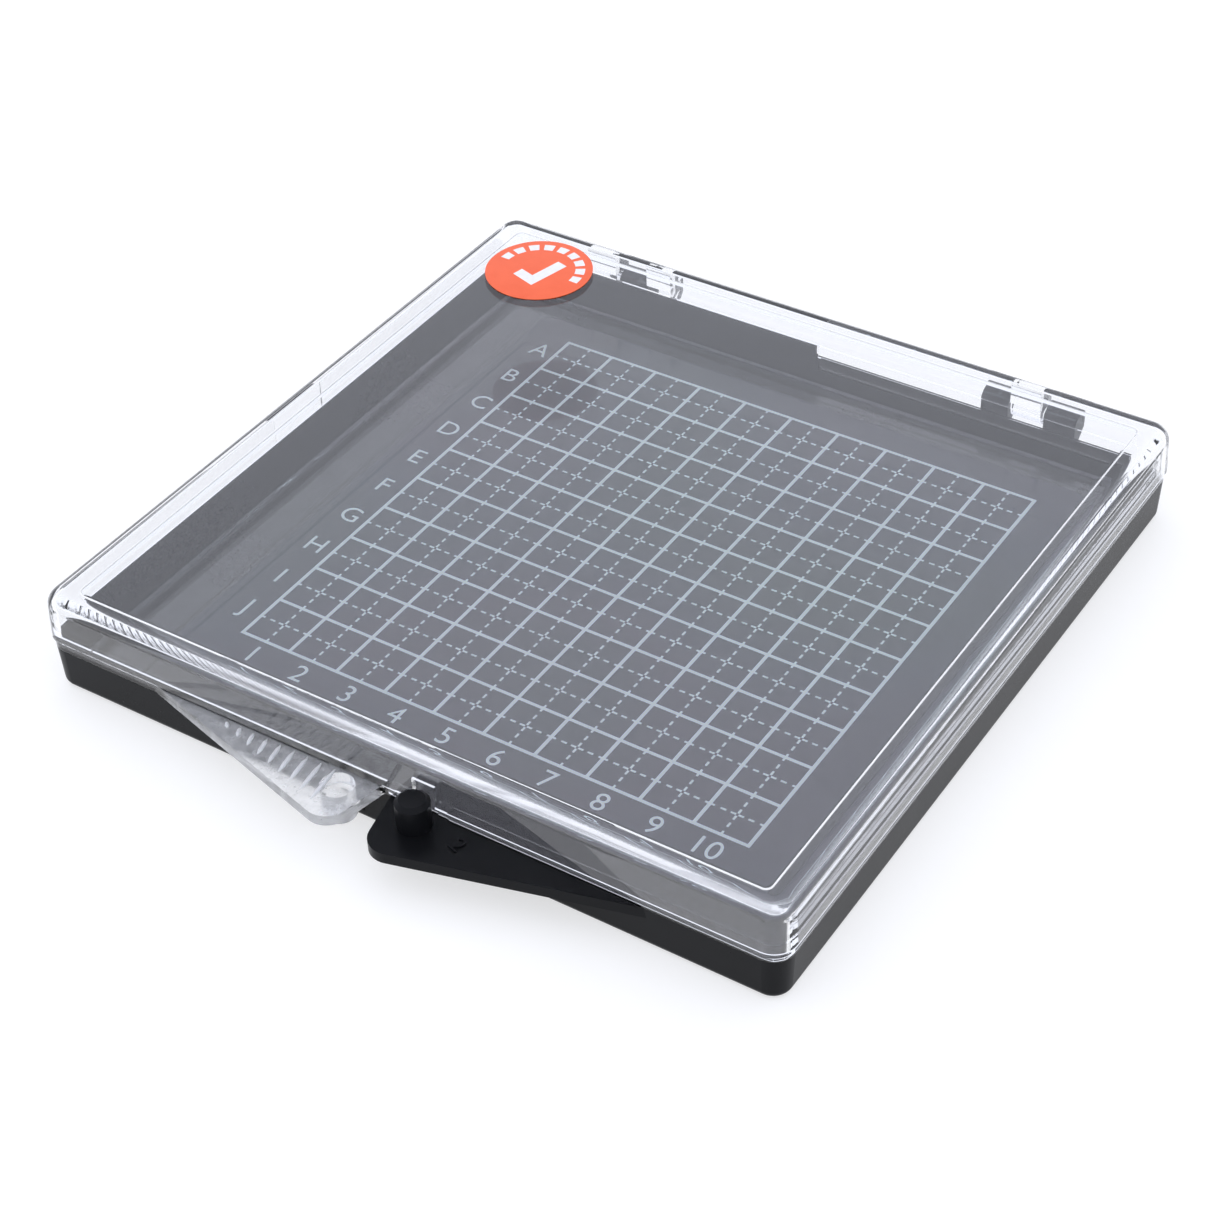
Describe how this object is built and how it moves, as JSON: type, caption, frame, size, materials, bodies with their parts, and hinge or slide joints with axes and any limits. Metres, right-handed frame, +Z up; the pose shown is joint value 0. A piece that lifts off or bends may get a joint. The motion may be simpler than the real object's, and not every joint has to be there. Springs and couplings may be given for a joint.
{
  "type": "hinged sample carrier box",
  "caption": "Shallow square sample box with a clear hinged lid over a black tray; a tacky gel sheet on a printed grid holds small chips or slides for storage and transport.",
  "frame": {"origin": "centre of the base tray's underside", "axes": "+Z up through the lid, +X along the hinge line to the right, -Y towards the finger tabs and latch, +Y towards the hinge"},
  "size_m": [0.1, 0.1089, 0.0137],
  "materials": {
    "black_shell": "conductive black polystyrene, moulded, satin gloss",
    "clear_shell": "clear moulded polystyrene, glossy",
    "adhesive": "thin acrylic transfer adhesive",
    "film": "dark film with a pale printed grid",
    "gel": "clear tacky silicone gel, glossy",
    "label": "orange self-adhesive paper label"
  },
  "bodies": {
    "base": {"base_tray": "black_shell", "mounting_adhesive": "adhesive", "printed_grid_film": "film", "tack_gel_sheet": "gel"},
    "lid": {"clear_lid": "clear_shell", "round_label": "label"}
  },
  "joints": [
    {"name": "lid_hinge", "type": "hinge", "parent": "base", "child": "lid", "pos_m": [0, 0.05085, 0.0068], "axis": [-1, 0, 0], "range_deg": [0, 180]}
  ]
}
